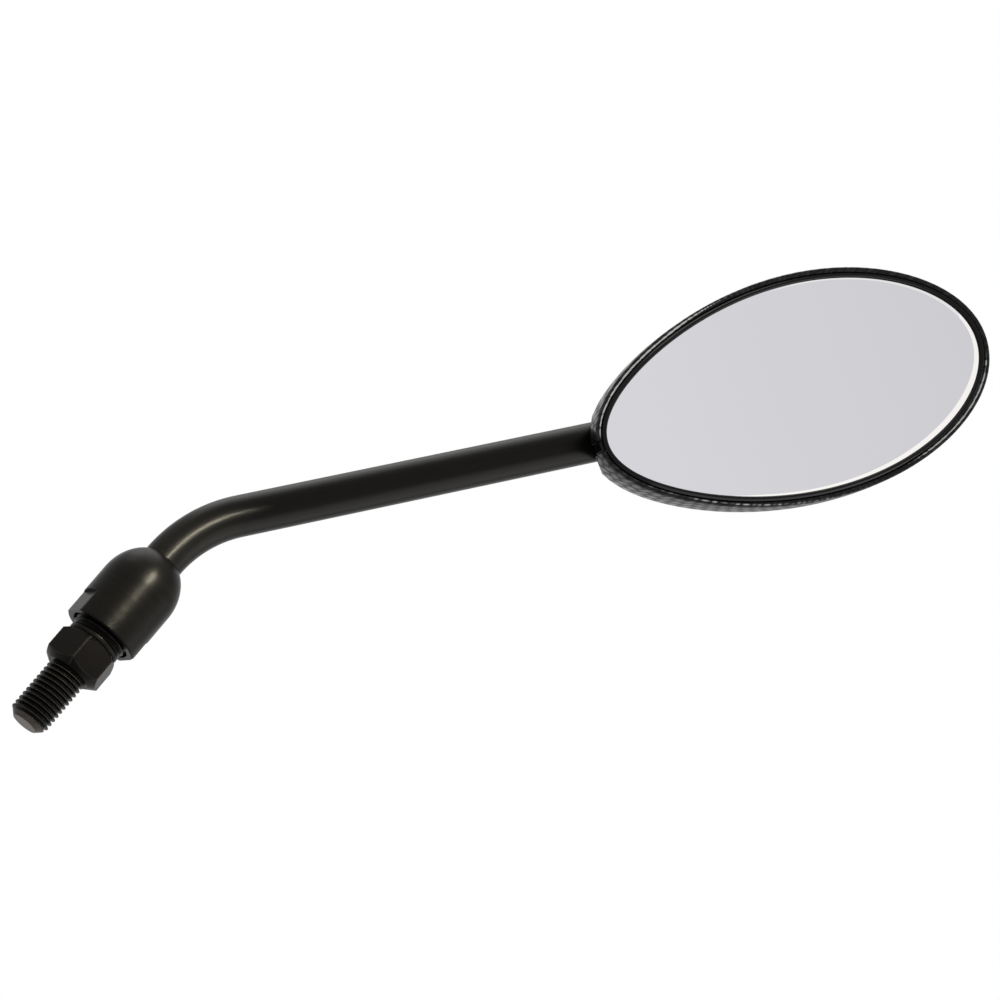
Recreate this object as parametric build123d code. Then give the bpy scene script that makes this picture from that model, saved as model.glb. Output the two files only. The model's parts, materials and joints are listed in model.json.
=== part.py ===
from build123d import *
import os
from math import acos, cos, pi, radians, sin, sqrt, tan

# Motorcycle mirror: a hex adapter with an M10 stud, a domed clamp nut, a bent stem that
# swivels in the nut, and an egg-shaped mirror head that turns on a ball at the stem's end.
# The adapter's seat under the hex is z = 0, the stud points down and the stem bends to +X.

# Adapter: stud, hex, collar and threaded spigot
stud_diameter = 10.0
stud_length = 15.5
stud_chamfer = 1.8
hex_across_flats = 14.0
hex_height = 8.5
hex_turn = 16.0
hex_seat_diameter = 11.2
hex_seat_angle = 35.0
hex_top_diameter = 13.2
hex_top_angle = 45.0
collar_diameter = 13.3
collar_height = 1.6
collar_rounding = 0.6
groove_diameter = 12.4
groove_width = 0.4
spigot_diameter = 14.0
spigot_length = 9.0
spigot_chamfer = 0.6

# Domed clamp nut
bell_diameter = 19.0
bell_gap = 3.1
bell_barrel_length = 13.6
bell_dome_height = 11.3
bell_dome_steps = 6
bell_edge_chamfer = 0.35
flats_across = 17.0
flats_height = 6.1
flats_turn = 12.0
mouth_diameter = 15.3
mouth_depth = 1.6
thread_gap = 0.04
stem_running_gap = 0.06

# Stack inside the clamp nut
washer_diameter = 13.2
washer_bore = 6.0
washer_thickness = 1.2
foot_diameter = 13.0
foot_height = 4.2
foot_bore = 8.0
foot_chamfer = 0.4
spring_diameter = 13.4
spring_bore = 10.6
spring_thickness = 0.6
spring_rise = 0.4
stack_gap = 0.05
press_gap = 0.01

# Stem
stem_diameter = 10.0
bend_clearance = 0.44
bend_radius = 35.0
bend_angle = 36.0
upper_run = 107.0
neck_diameter = 7.0
neck_start = 9.0
neck_taper = 1.5
tenon_diameter = 6.0
tenon_depth = 1.0
tenon_end_gap = 0.2

# Ball and its two seats
ball_diameter = 12.0
ball_gap = 0.05
ball_flat_margin = 0.1
seat_thickness = 1.4
seat_angle = 40.0
seat_hole_angle = 14.0
head_turn = 4.0
swing_limit = 8.0

# Egg outline of the glass, as seen from the front
glass_length = 110.0
glass_height = 52.4
egg_lean = 0.106
egg_pinch = -0.093
egg_point_count = 24
ball_to_glass_tip = 14.9
ball_rise = 2.2

# Stack in the mirror head, with depths counted from the ball centre towards the viewer
glass_front = 12.3
glass_thickness = 2.5
bevel_width = 1.3
bevel_depth = 0.2
pad_thickness = 0.7
pad_inset = 1.5
carrier_thickness = 1.4
carrier_outset = 0.3

# Black rim round the glass
rim_crown = 0.6
rim_gap = 0.1
rim_width = 1.15
rim_cap_thickness = 1.5
rim_rounding = 0.4
rim_rounding_steps = 3
rim_leg_width = 0.6
tongue_gap = 0.2
tongue_setback = 0.6
tongue_end_gap = 0.4
tongue_overlap = 0.5

# Housing shell
lip_width = 1.5
lip_gap = 0.05
lip_setback = 0.35
lip_chamfer = 0.4
wall = 1.85
housing_depth = 26.0
dome_fullness = 2.7
dome_section_count = 8
ledge_width = 2.0
ledge_thickness = 1.5
ledge_root = 0.4
ledge_start = 7.0
entry_gap = 0.35
notch_width = 3.0

# Ball clamp: plate, countersunk screws, threaded inserts and the bosses that take them
clamp_front = 7.0
clamp_thickness = 1.6
clamp_margin = 3.2
clamp_ring_diameter = 13.2
clamp_squeeze = 0.2
screw_diameter = 3.0
screw_head_diameter = 5.6
screw_head_height = 1.4
screw_length = 9.0
screw_key = 2.0
screw_key_depth = 0.9
screw_gap = 0.1
screw_end_gap = 0.3
insert_diameter = 4.2
insert_length = 5.0
boss_diameter = 6.6
socket_diameter = 21.0
socket_start = 2.0
screw_site_upper = (-0.5, 9.3)
screw_site_lower = (-2.5, -11.0)
screw_site_far = (11.5, -1.0)

# Levels on the stud axis that follow from the sizes above
collar_top = hex_height + collar_height
spigot_bottom = collar_top + groove_width
spigot_top = spigot_bottom + spigot_length
bell_bottom = hex_height + bell_gap
bell_radius = bell_diameter / 2
dome_start = bell_bottom + bell_barrel_length
stem_radius = stem_diameter / 2
bell_bore_radius = stem_radius + stem_running_gap
bell_top = dome_start + bell_dome_height * sqrt(1 - (bell_bore_radius / bell_radius) ** 2)
thread_radius = spigot_diameter / 2 + thread_gap
washer_bottom = spigot_top + stack_gap
foot_bottom = washer_bottom + washer_thickness + stack_gap
foot_top = foot_bottom + foot_height
spring_bottom = foot_top + stack_gap
shoulder = spring_bottom + spring_thickness + spring_rise + stack_gap
bend_start = bell_top + bend_clearance

# Ball centre, the frame of the stem's upper run and the head's frame: x along the egg,
# y to the back and z up across the egg
bend = radians(bend_angle)
stem_direction = Vector(sin(bend), 0, cos(bend))
bend_end = Vector(bend_radius * (1 - cos(bend)), 0, bend_start + bend_radius * sin(bend))
ball_centre = bend_end + stem_direction * upper_run
run_frame = Location(tuple(ball_centre), (0, bend_angle - 90, 0))
head_frame = Location(tuple(ball_centre), (0, bend_angle - 90 - head_turn, 0))

# Radii, outsets and depths of the head that follow from the sizes above
ball_radius = ball_diameter / 2
neck_radius = neck_diameter / 2
ball_flat = sqrt(ball_radius ** 2 - (neck_radius + ball_flat_margin) ** 2)
seat_inner = ball_radius + ball_gap
seat_outer = seat_inner + seat_thickness
socket_radius = seat_outer + ball_gap
glass_back = glass_front - glass_thickness
pad_back = glass_back - pad_thickness
carrier_back = pad_back - carrier_thickness
rim_front = glass_front + rim_crown
rim_cap_back = rim_front - rim_cap_thickness
rim_outset = rim_gap + rim_width
lip_front = rim_front - lip_setback
lip_outset = rim_outset + lip_gap
housing_outset = lip_outset + lip_width
cavity_outset = housing_outset - wall
half_length = glass_length / 2
half_height = glass_height / 2
ball_to_glass_centre = half_length - ball_to_glass_tip
housing_tip = ball_to_glass_centre - half_length - housing_outset
housing_back = housing_depth - lip_front
clamp_back = clamp_front - clamp_thickness
boss_front = clamp_back - clamp_squeeze
screw_sites = [screw_site_upper, screw_site_lower, screw_site_far]

STANDING = (Align.CENTER, Align.CENTER, Align.MIN)


def pillar(radius, bottom, top):
    """Round bar on the local z axis between two levels."""
    return Pos(0, 0, bottom) * Cylinder(radius, top - bottom, align=STANDING)


def taper(bottom_radius, top_radius, bottom, top):
    """Round taper on the local z axis between two levels."""
    return Pos(0, 0, bottom) * Cone(bottom_radius, top_radius, top - bottom, align=STANDING)


def towards_back(x, z):
    """Frame at a site across the egg, whose own z points to the back of the head."""
    return Pos(x, 0, z) * Rot(-90, 0, 0)


def along_run(shape):
    """Turn a shape from the local z axis onto the x axis of the stem's upper run."""
    return Rot(0, 90, 0) * shape


def egg_wire(outset, depth, scale=1.0):
    """Closed egg curve at a depth before the ball: x = a cos t, with a half-height of
    b (1 + lean cos t + pinch cos^2 t) sin t, moved along its normal by the outset
    and then scaled about its own centre."""
    points = []
    for step in range(egg_point_count):
        t = 2 * pi * step / egg_point_count
        swell = 1 + egg_lean * cos(t) + egg_pinch * cos(t) ** 2
        swell_rate = -(egg_lean + 2 * egg_pinch * cos(t)) * sin(t)
        dx = -half_length * sin(t)
        dz = half_height * (swell_rate * sin(t) + swell * cos(t))
        speed = sqrt(dx ** 2 + dz ** 2)
        x = half_length * cos(t) + outset * dz / speed
        z = half_height * swell * sin(t) - outset * dx / speed
        points.append(Vector(ball_to_glass_centre + scale * x, -depth, scale * z - ball_rise))
    return Wire([Edge.make_spline(points, periodic=True)])


def egg_slab(outset, front, back):
    """Flat egg-shaped slab between two depths."""
    return extrude(Face(egg_wire(outset, front)), amount=front - back, dir=(0, 1, 0))


def egg_ring(outer, inner, front, back):
    """Flat egg-shaped ring between two outsets and two depths."""
    return egg_slab(outer, front, back) - egg_slab(inner, front, back)


def egg_dome(outset, front, depth):
    """Dome behind an egg outline: its sections shrink by r cos(u) as they go back by r sin(u),
    with r^n = 1 / (cos(u)^n + sin(u)^n), a superellipse of fullness n that closes in one point."""
    sections = []
    for step in range(dome_section_count):
        u = step * pi / 2 / dome_section_count
        reach = (cos(u) ** dome_fullness + sin(u) ** dome_fullness) ** (-1 / dome_fullness)
        sections.append(egg_wire(outset, front - depth * reach * sin(u), reach * cos(u)))
    apex = Vertex(ball_to_glass_centre, depth - front, -ball_rise)
    return Solid.make_loft(sections + [apex])


def ball_seat():
    """Nylon cup round the local +y axis: the sector between two spheres and two cones."""
    def at(radius, angle):
        return (radius * sin(radians(angle)), radius * cos(radians(angle)))

    middle = (seat_hole_angle + seat_angle) / 2
    outline = [
        ThreePointArc(at(seat_inner, seat_hole_angle), at(seat_inner, middle), at(seat_inner, seat_angle)),
        Line(at(seat_inner, seat_angle), at(seat_outer, seat_angle)),
        ThreePointArc(at(seat_outer, seat_angle), at(seat_outer, middle), at(seat_outer, seat_hole_angle)),
        Line(at(seat_outer, seat_hole_angle), at(seat_inner, seat_hole_angle)),
    ]
    return revolve(make_face(outline), axis=Axis.Y)


def entry_half(reach):
    """Half-width that the stem needs at a distance from the ball when it swings to its limit."""
    swing = radians(swing_limit)
    return stem_radius / cos(swing) + reach * tan(swing) + entry_gap


def stem_entry():
    """Room for the swinging stem: a rounded square that widens away from the ball."""
    sections = []
    for reach in (stem_radius, ball_radius - housing_tip):
        side = 2 * entry_half(reach)
        sections.append(Pos(-reach, 0, 0) * Rot(0, -90, 0) * RectangleRounded(side, side, stem_radius))
    return loft(sections)


def make_adapter_stud():
    stud = pillar(stud_diameter / 2, -stud_length, 0)
    stud = chamfer(stud.faces().sort_by(Axis.Z)[0].edges(), stud_chamfer)
    corner_radius = hex_across_flats / 2 / cos(pi / 6)
    seat_rise = (corner_radius - hex_seat_diameter / 2) * tan(radians(hex_seat_angle))
    top_fall = (corner_radius - hex_top_diameter / 2) * tan(radians(hex_top_angle))
    turned = taper(hex_seat_diameter / 2, corner_radius, 0, seat_rise)
    turned += pillar(corner_radius, seat_rise, hex_height - top_fall)
    turned += taper(corner_radius, hex_top_diameter / 2, hex_height - top_fall, hex_height)
    body = extrude(RegularPolygon(corner_radius, 6, rotation=hex_turn), amount=hex_height) & turned
    collar = pillar(collar_diameter / 2, hex_height, collar_top)
    collar = fillet(collar.edges().filter_by(GeomType.CIRCLE), collar_rounding)
    groove = pillar(groove_diameter / 2, hex_height, spigot_bottom)
    spigot = pillar(spigot_diameter / 2, spigot_bottom, spigot_top)
    spigot = chamfer(spigot.faces().sort_by(Axis.Z)[-1].edges(), spigot_chamfer)
    return stud + body + collar + groove + spigot


def make_bell_nut():
    dome_angle = acos(bell_bore_radius / bell_radius)
    angles = [dome_angle * step / bell_dome_steps for step in range(bell_dome_steps + 1)]
    points = [(bell_radius * cos(t), dome_start + bell_dome_height * sin(t)) for t in angles]
    crown_tangent = (-bell_radius * sin(dome_angle), bell_dome_height * cos(dome_angle))
    dome = Spline(points, tangents=[(0, 1), crown_tangent])
    barrel = Polyline(
        (bell_bore_radius, bell_top),
        (bell_bore_radius, bell_bottom),
        (bell_radius - bell_edge_chamfer, bell_bottom),
        (bell_radius, bell_bottom + bell_edge_chamfer),
        (bell_radius, dome_start),
    )
    body = revolve(Plane.XZ * make_face([*barrel.edges(), dome]), axis=Axis.Z)
    body -= pillar(mouth_diameter / 2, bell_bottom, bell_bottom + mouth_depth)
    body -= pillar(thread_radius, bell_bottom, shoulder)
    flat = Pos(flats_across / 2, 0, bell_bottom) * Box(
        bell_radius, bell_diameter, flats_height, align=(Align.MIN, Align.CENTER, Align.MIN)
    )
    for side in (0, 180):
        body -= Rot(0, 0, flats_turn + side) * flat
    return body


def make_friction_washer():
    washer = pillar(washer_diameter / 2, washer_bottom, washer_bottom + washer_thickness)
    return washer - pillar(washer_bore / 2, washer_bottom, washer_bottom + washer_thickness)


def make_spring_washer():
    """Coned ring: a slanted strip turned about the stud axis, its inner edge raised."""
    inner = spring_bore / 2
    outer = spring_diameter / 2
    strip = Polyline(
        (outer, spring_bottom),
        (outer, spring_bottom + spring_thickness),
        (inner, spring_bottom + spring_thickness + spring_rise),
        (inner, spring_bottom + spring_rise),
        close=True,
    )
    return revolve(Plane.XZ * make_face(strip), axis=Axis.Z)


def make_stem_foot():
    foot = pillar(foot_diameter / 2, foot_bottom, foot_top)
    foot = chamfer(foot.edges().filter_by(GeomType.CIRCLE), foot_chamfer)
    return foot - pillar(foot_bore / 2 + press_gap, foot_bottom, foot_top)


def make_stem():
    half_turn = bend / 2
    bend_middle = Vector(bend_radius * (1 - cos(half_turn)), 0, bend_start + bend_radius * sin(half_turn))
    start = Vector(0, 0, foot_top)
    bend_begin = Vector(0, 0, bend_start)
    run_end = ball_centre - stem_direction * neck_start
    path = Wire([
        Edge.make_line(start, bend_begin),
        Edge.make_three_point_arc(bend_begin, bend_middle, bend_end),
        Edge.make_line(bend_end, run_end),
    ])
    bar = sweep(Pos(0, 0, foot_top) * Circle(stem_radius), path=path)
    lower_tenon = pillar(foot_bore / 2, foot_bottom, foot_top)
    neck = taper(stem_radius, neck_radius, -neck_start, neck_taper - neck_start)
    neck += pillar(neck_radius, neck_taper - neck_start, -ball_flat)
    neck += pillar(tenon_diameter / 2, -ball_flat, tenon_depth)
    return bar + lower_tenon + run_frame * along_run(neck)


def make_pivot_ball():
    ball = Sphere(ball_radius) & pillar(ball_radius, -ball_flat, ball_radius)
    ball -= pillar(tenon_diameter / 2 + press_gap, -ball_flat, tenon_depth + tenon_end_gap)
    return run_frame * along_run(ball)


def make_glass():
    slab = egg_slab(0, glass_front - bevel_depth, glass_back)
    bevel_edges = [egg_wire(0, glass_front - bevel_depth), egg_wire(-bevel_width, glass_front)]
    return slab + Solid.make_loft(bevel_edges, True)


def rim_cap_side(edge, inwards):
    """Egg-shaped plug of the rim's cap whose upright side rounds over the front by the rounding."""
    sections = [egg_wire(edge, rim_cap_back)]
    for step in range(rim_rounding_steps + 1):
        u = step * pi / 2 / rim_rounding_steps
        outset = edge + inwards * rim_rounding * (1 - cos(u))
        sections.append(egg_wire(outset, rim_front - rim_rounding * (1 - sin(u))))
    return Solid.make_loft(sections, True)


def make_rim():
    cap = rim_cap_side(rim_outset, -1) - rim_cap_side(rim_gap, 1)
    leg = egg_ring(rim_gap + rim_leg_width, rim_gap, rim_cap_back, pad_back)
    tongue_front = rim_cap_back + tongue_overlap
    tongue_end = entry_half(-housing_tip) + tongue_end_gap
    tongue = Pos(housing_tip + tongue_setback, -tongue_front, -ball_rise) * Box(
        wall - tongue_setback,
        tongue_front - tongue_end,
        notch_width - 2 * tongue_gap,
        align=(Align.MIN, Align.MIN, Align.CENTER),
    )
    return cap + leg + tongue


def make_housing():
    lip_back = lip_front - lip_chamfer
    lip_edge = [egg_wire(housing_outset, lip_back), egg_wire(housing_outset - lip_chamfer, lip_front)]
    outer = egg_dome(housing_outset, lip_back, housing_depth - lip_chamfer)
    outer += Solid.make_loft(lip_edge, True)
    cavity = egg_dome(cavity_outset, lip_front, housing_depth - wall)
    shell = outer - cavity - egg_slab(lip_outset, lip_front, rim_cap_back)
    ledge_inset = carrier_outset - ledge_width
    ledge = egg_ring(cavity_outset + ledge_root, ledge_inset, carrier_back, carrier_back - ledge_thickness)
    beyond = Pos(ledge_start, 0, 0) * Box(
        glass_length, housing_depth, glass_length, align=(Align.MIN, Align.CENTER, Align.CENTER)
    )
    inside = ledge & beyond
    inside += towards_back(0, 0) * pillar(socket_diameter / 2, socket_start, housing_back)
    for x, z in screw_sites:
        inside += towards_back(x, z) * pillar(boss_diameter / 2, -boss_front, housing_back)
    body = shell + (inside & outer)
    body -= Sphere(socket_radius)
    body -= stem_entry()
    notch_depth = lip_front - entry_half(-housing_tip)
    body -= Pos(housing_tip, -lip_front, -ball_rise) * Box(
        2 * wall, 2 * notch_depth, notch_width, align=Align.CENTER
    )
    for x, z in screw_sites:
        site = towards_back(x, z)
        body -= site * pillar(insert_diameter / 2 + press_gap, -boss_front, insert_length - boss_front)
        screw_end = screw_length - clamp_front + screw_end_gap
        body -= site * pillar(screw_diameter / 2 + screw_gap, -boss_front, screw_end)
    return body


def make_clamp_plate():
    rounds = [Circle(clamp_ring_diameter / 2)]
    rounds += [Pos(x, z) * Circle(clamp_margin) for x, z in screw_sites]
    outline = make_hull([edge for circle in rounds for edge in circle.edges()])
    plate = extrude(Plane.XZ.offset(clamp_back) * outline, amount=clamp_thickness)
    plate -= Sphere(socket_radius)
    for x, z in screw_sites:
        plate -= towards_back(x, z) * screw_outline(screw_gap)
    return plate


def screw_outline(gap):
    """Countersunk screw from the clamp plate's front to its end, with a gap all round."""
    head_back = screw_head_height - clamp_front
    shank = screw_diameter / 2 + gap
    head = taper(screw_head_diameter / 2 + gap, shank, -clamp_front, head_back)
    return head + pillar(shank, head_back, screw_length - clamp_front)


def make_clamp_screw(site):
    key = extrude(RegularPolygon(screw_key / 2, 6, major_radius=False), amount=screw_key_depth)
    return towards_back(*site) * (screw_outline(0) - Pos(0, 0, -clamp_front) * key)


def make_screw_insert(site):
    insert = pillar(insert_diameter / 2, -boss_front, insert_length - boss_front)
    return towards_back(*site) * (
        insert - pillar(screw_diameter / 2 + press_gap, -boss_front, insert_length - boss_front)
    )


nodes = {
    "adapter_stud": make_adapter_stud(),
    "bell_nut": make_bell_nut(),
    "friction_washer": make_friction_washer(),
    "spring_washer": make_spring_washer(),
    "stem": make_stem(),
    "stem_foot": make_stem_foot(),
    "pivot_ball": make_pivot_ball(),
    "rear_seat": head_frame * ball_seat(),
    "front_seat": head_frame * Rot(0, 0, 180) * ball_seat(),
    "housing": head_frame * make_housing(),
    "rim": head_frame * make_rim(),
    "mirror_glass": head_frame * make_glass(),
    "glass_pad": head_frame * egg_slab(-pad_inset, glass_back, pad_back),
    "carrier_plate": head_frame * egg_slab(carrier_outset, pad_back, carrier_back),
    "clamp_plate": head_frame * make_clamp_plate(),
}
for number, site in enumerate(screw_sites, start=1):
    nodes[f"clamp_screw_{number}"] = head_frame * make_clamp_screw(site)
    nodes[f"screw_insert_{number}"] = head_frame * make_screw_insert(site)

os.makedirs("parts", exist_ok=True)
for name, shape in nodes.items():
    export_step(shape, f"parts/{name}.step")
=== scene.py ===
import json
from math import pi, radians, tan

import bpy
import numpy as np
from mathutils import Matrix, Vector


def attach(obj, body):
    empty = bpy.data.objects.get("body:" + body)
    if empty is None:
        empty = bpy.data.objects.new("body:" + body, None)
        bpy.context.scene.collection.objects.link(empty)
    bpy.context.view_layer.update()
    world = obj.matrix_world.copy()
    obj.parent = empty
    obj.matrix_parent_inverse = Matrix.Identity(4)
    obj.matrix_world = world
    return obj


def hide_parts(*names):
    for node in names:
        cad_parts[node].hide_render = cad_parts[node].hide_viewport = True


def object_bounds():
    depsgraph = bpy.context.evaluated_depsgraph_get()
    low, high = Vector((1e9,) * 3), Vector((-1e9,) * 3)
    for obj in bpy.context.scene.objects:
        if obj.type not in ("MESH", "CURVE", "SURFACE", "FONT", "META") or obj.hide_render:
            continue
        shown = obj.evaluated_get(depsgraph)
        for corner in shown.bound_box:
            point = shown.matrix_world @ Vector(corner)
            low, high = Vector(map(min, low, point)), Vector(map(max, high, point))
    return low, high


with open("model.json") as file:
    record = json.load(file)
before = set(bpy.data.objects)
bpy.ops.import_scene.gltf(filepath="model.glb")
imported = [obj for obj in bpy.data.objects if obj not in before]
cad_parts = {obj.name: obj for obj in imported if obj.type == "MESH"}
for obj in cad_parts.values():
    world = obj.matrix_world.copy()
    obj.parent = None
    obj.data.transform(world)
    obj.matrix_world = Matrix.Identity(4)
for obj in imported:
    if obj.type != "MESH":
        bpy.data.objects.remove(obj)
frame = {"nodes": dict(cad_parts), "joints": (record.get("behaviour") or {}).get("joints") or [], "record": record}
cad_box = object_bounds()

MM = 0.001

# Adapter, in millimetres on the stud axis
STUD_RADIUS = 5.0
STUD_LENGTH = 15.5
STUD_CHAMFER = 1.8
STUD_PITCH = 1.25
STUD_RELIEF_RADIUS = 4.5
STUD_RELIEF_LENGTH = 0.4
HEX_ACROSS_FLATS = 14.0
HEX_HEIGHT = 8.5
HEX_TURN = 16.0
HEX_SEAT_RADIUS = 5.6
HEX_SEAT_ANGLE = 35.0
HEX_TOP_RADIUS = 6.6
HEX_TOP_ANGLE = 45.0
COLLAR_RADIUS = 6.65
COLLAR_HEIGHT = 1.6
COLLAR_ROUNDING = 0.6
GROOVE_RADIUS = 6.2
GROOVE_WIDTH = 0.4
SPIGOT_RADIUS = 7.0
SPIGOT_LENGTH = 9.0
SPIGOT_PITCH = 1.0
THREAD_DEPTH_SHARE = 0.6134
THREAD_CREST_SHARE = 0.125
THREAD_ROOT_SHARE = 0.25
CREST_CLEARANCE = 0.06
RUN_IN_SLOPE = 2.0

# How much the adapter's black is lightened, partly as wear and partly as painted sheen where light catches its
# end, chamfer, crests and hex edges, and how far from an edge this fades out
END_WEAR_AND_SHEEN = 0.9
CHAMFER_WEAR_AND_SHEEN = 0.7
CREST_WEAR_AND_SHEEN = 0.35
HEX_WEAR_AND_SHEEN = 0.25
WEAR_AND_SHEEN_DEPTH = 0.12
SEAT_EDGE_WIDTH = 0.15

# Domed clamp nut
BELL_RADIUS = 9.5
BELL_BOTTOM = 11.6
BELL_BARREL = 13.6
BELL_DOME = 11.3
BELL_CHAMFER = 0.35
BELL_MOUTH_RADIUS = 7.65
BELL_MOUTH_DEPTH = 1.6
BELL_MOUTH_CHAMFER = 0.2
BELL_THREAD_RADIUS = 7.04
BELL_SHOULDER = 26.1
BELL_BORE_RADIUS = 5.06
FLATS_ACROSS = 17.0
FLATS_HEIGHT = 6.1
FLATS_TURN = 12.0
TURNING_PITCH = 0.42

# Stem
STEM_RADIUS = 5.0
TENON_RADIUS = 4.0
TENON_BOTTOM = 20.8
TENON_TOP = 25.0
BEND_START = 35.204
BEND_RADIUS = 35.0
BEND_ANGLE = radians(36.0)
UPPER_RUN = 107.0
NECK_RADIUS = 3.5
NECK_START = 9.0
NECK_TAPER = 1.5
NECK_END = 4.8

# Egg outline of the glass and the depths before the ball centre
GLASS_LENGTH = 110.0
GLASS_HEIGHT = 52.4
EGG_LEAN = 0.106
EGG_PINCH = -0.093
BALL_TO_TIP = 14.9
BALL_RISE = 2.2
GLASS_FRONT = 12.3
GLASS_BACK = 9.8
BEVEL_NARROW = 0.35
BEVEL_WIDE = 1.8
BEVEL_WIDEST = -20.0
BEVEL_PEAK = 4
BEVEL_SLOPES = (0.105, 0.135)
PAD_BACK = 9.1

# Rim and its tongue
RIM_GAP = 0.1
RIM_OUTSET = 1.25
RIM_FRONT = 12.9
RIM_CAP_BACK = 11.4
RIM_CHAMFER = 0.4
RIM_EDGE_WIDTH = 0.1
RIM_EDGE_FALL = 0.04
RIM_INNER_FALL = 0.5
RIM_LEG_WIDTH = 0.6
TONGUE_WIDTH = 2.6
TONGUE_SETBACK = 0.6
TONGUE_FRONT = 11.9
TONGUE_BACK = 8.3
TONGUE_ROUNDING = 0.35

# Shell
LIP_FRONT = 12.55
LIP_OUTSET = 1.3
LIP_ROUNDING = 0.4
LIP_FOLD = (-0.03, -0.025)
LIP_INNER_FALL = 0.33
LIP_CROWN_RADIUS = 1.7
LIP_CROWN_TILT = 28.0
SHELL_OUTSET = 2.8
SHELL_WALL = 1.85
SHELL_DEPTH = 26.0
DOME_FULLNESS = 2.7
NOTCH_WIDTH = 3.0
NOTCH_REACH = 1.85
ENTRY_SWING = radians(8.0)
ENTRY_GAP = 0.35
SOCKET_RADIUS = 10.5
SOCKET_START = 2.0
SOCKET_POCKET = 7.5
SOCKET_LEAST = 0.3
SOCKET_SKIN = 0.4

# Carbon cloth: width of one tow, turn of the cloth against the egg's long axis, and share of lacquer
# that shows outside, how much less of it below and how much inside
TOW_WIDTH = 2.05
CLOTH_TURN = radians(-25.0)
OUTER_POLISH = 0.6
LOWER_POLISH_LOSS = 0.5
INNER_POLISH = 0.15

# Camera of the photograph: a frame of 1000 pixels with a focal length of 2900
CAMERA_PLACE = (-0.033864, -0.649075, -0.170324)
CAMERA_RIGHT = (0.74104, -0.34256, 0.57751)
CAMERA_UP = (-0.66026, -0.21531, 0.71951)
SENSOR_WIDTH = 36.0
FOCAL_LENGTH = SENSOR_WIDTH * 2900 / 1000
CAMERA_AXES = np.array([CAMERA_RIGHT, CAMERA_UP, np.cross(CAMERA_RIGHT, CAMERA_UP)])

# Stage, in metres: the mirror's middle, which the large lamps face, the floor, the ambient white, the
# direction along the two lamps that the glass's bevel shows, and the spots' tint
AIM = (np.array(cad_box[0]) + np.array(cad_box[1])) / 2
FLOOR_HALF = 2.5
FLOOR_LEVEL = -1.0
AMBIENT_STRENGTH = 0.45
EDGE_ALONG = (0.881, 0.473, 0)
SPOT_TINT = (1.0, 0.95, 0.82)

# Head frame from the joints: along the egg, to its back and up across it
joints = {joint["name"]: joint for joint in frame["joints"]}
BALL = np.array(joints["head_turn"]["pos_m"])
HEAD_BACK = np.array(joints["head_turn"]["axis"], float)
HEAD_UP = np.array(joints["head_pan"]["axis"], float)
HEAD_ALONG = np.cross(HEAD_BACK, HEAD_UP)
EGG_CENTRE = GLASS_LENGTH / 2 - BALL_TO_TIP
SHELL_TIP = EGG_CENTRE - GLASS_LENGTH / 2 - SHELL_OUTSET
HEX_CORNER = HEX_ACROSS_FLATS / 2 / np.cos(pi / 6)
DOME_START = BELL_BOTTOM + BELL_BARREL
COLLAR_TOP = HEX_HEIGHT + COLLAR_HEIGHT
SPIGOT_BOTTOM = COLLAR_TOP + GROOVE_WIDTH


def in_head(x, depth, z):
    """Points of the head in metres from millimetres along the egg, before the ball and across."""
    x, depth, z = np.broadcast_arrays(x, depth, z)
    local = x[..., None] * HEAD_ALONG - depth[..., None] * HEAD_BACK + z[..., None] * HEAD_UP
    return BALL + MM * local


def upright(radius, angle, height):
    """Points on the stud axis in metres from a radius, an angle and a height in millimetres."""
    radius, angle, height = np.broadcast_arrays(radius, angle, height)
    return MM * np.stack([radius * np.cos(angle), radius * np.sin(angle), height], axis=-1)


def egg(t, outset=0.0):
    """Egg outline: x = a cos t and z = b (1 + lean cos t + pinch cos^2 t) sin t, moved along
    its own normal by the outset."""
    half_length, half_height = GLASS_LENGTH / 2, GLASS_HEIGHT / 2
    swell = 1 + EGG_LEAN * np.cos(t) + EGG_PINCH * np.cos(t) ** 2
    swell_rate = -(EGG_LEAN + 2 * EGG_PINCH * np.cos(t)) * np.sin(t)
    dx = -half_length * np.sin(t)
    dz = half_height * (swell_rate * np.sin(t) + swell * np.cos(t))
    speed = np.hypot(dx, dz)
    x = half_length * np.cos(t) + outset * dz / speed
    z = half_height * swell * np.sin(t) - outset * dx / speed
    return x, z


def egg_ring(t, outset, depth, scale=1.0):
    """Egg outlines in the head: rows of outsets, depths and scales about the egg's centre, which are
    one value a row or one value a point."""
    outset, depth, scale = np.broadcast_arrays(outset, depth, scale)
    if outset.ndim < 2 and outset.shape != t.shape:
        outset, depth, scale = (np.reshape(value, (-1, 1)) for value in (outset, depth, scale))
    x, z = egg(t[None, :], outset)
    return in_head(EGG_CENTRE + scale * x, depth, scale * z - BALL_RISE)


def around(count):
    """Evenly spaced angles of one turn, without the repeated last one."""
    return np.linspace(0, 2 * pi, count, endpoint=False)


def arc(centre, radius, start, end, count=7):
    """Points of a circular arc in a profile plane, with angles in degrees."""
    angle = np.radians(np.linspace(start, end, count))
    return np.stack([centre[0] + radius * np.cos(angle), centre[1] + radius * np.sin(angle)], axis=-1)


def profile(*stretches):
    """One profile from points and stretches of points."""
    return np.concatenate([np.atleast_2d(stretch) for stretch in stretches])


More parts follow.
